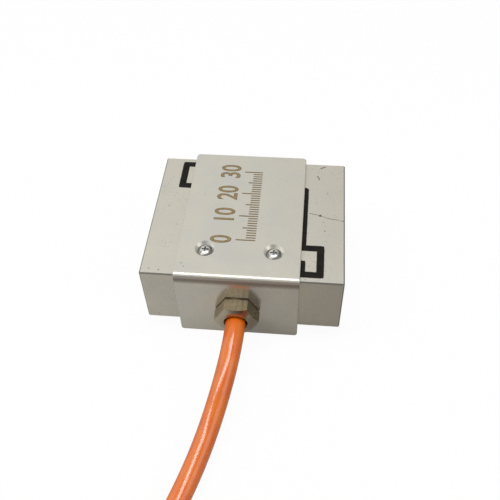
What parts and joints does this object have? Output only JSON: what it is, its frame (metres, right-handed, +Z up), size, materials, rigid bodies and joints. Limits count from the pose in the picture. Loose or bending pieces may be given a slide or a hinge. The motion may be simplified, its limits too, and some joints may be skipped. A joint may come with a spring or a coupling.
{
  "type": "s type load cell",
  "caption": "Flat S-cut force sensor block with folded sheet covers, a threaded hole in each end, and an orange cable that leaves through a hexagon gland.",
  "frame": {"origin": "on the surface that the cell rests on, under the middle of the block between its two threaded holes", "axes": "+X along the load axis towards the right threaded hole, +Z up out of the front cover, and the cable leaves along -Y"},
  "size_m": [0.0924, 0.2063, 0.028],
  "materials": {
    "nickel_block": "satin nickel plate",
    "cover_sheet": "satin sheet",
    "screw_steel": "bright plated",
    "slot_sealant": "matt black silicone",
    "gauge_foil": "amber film on copper foil",
    "gauge_wire": "enamelled wire",
    "gauge_coating": "milky silicone",
    "board": "green solder mask",
    "board_pad": "white foam tape",
    "resistor": "matt black",
    "core_red": "satin insulation",
    "core_black": "satin insulation",
    "core_green": "satin insulation",
    "core_white": "satin insulation",
    "drain_wire": "tinned strands",
    "bush_rubber": "matt black",
    "washer_brass": "plain",
    "gland_metal": "nickel plated",
    "cable_sheath": "glossy orange",
    "cable_tie": "matt black",
    "shrink_sleeve": "matt black"
  },
  "bodies": {
    "root": {"balance_board": "board", "balance_resistors": "resistor", "board_pad": "board_pad", "cable_coil": "cable_sheath", "cable_lead": "cable_sheath", "cable_tie": "cable_tie", "core_black": "core_black", "core_green": "core_green", "core_red": "core_red", "core_white": "core_white", "end_sleeve": "shrink_sleeve", "front_cover": "cover_sheet", "front_screw_left": "screw_steel", "front_screw_right": "screw_steel", "gauge_coating_front": "gauge_coating", "gauge_coating_rear": "gauge_coating", "gauge_wire_front_left": "gauge_wire", "gauge_wire_front_right": "gauge_wire", "gauge_wire_rear_left": "gauge_wire", "gauge_wire_rear_right": "gauge_wire", "gland_bush": "bush_rubber", "gland_screw": "gland_metal", "gland_washer": "washer_brass", "rear_cover": "cover_sheet", "rear_screw_left": "screw_steel", "rear_screw_right": "screw_steel", "slot_sealant_left": "slot_sealant", "slot_sealant_right": "slot_sealant", "spring_element": "nickel_block", "strain_gauge_front_left": "gauge_foil", "strain_gauge_front_right": "gauge_foil", "strain_gauge_rear_left": "gauge_foil", "strain_gauge_rear_right": "gauge_foil", "tail_black": "core_black", "tail_drain": "drain_wire", "tail_green": "core_green", "tail_red": "core_red", "tail_white": "core_white"}
  },
  "joints": []
}
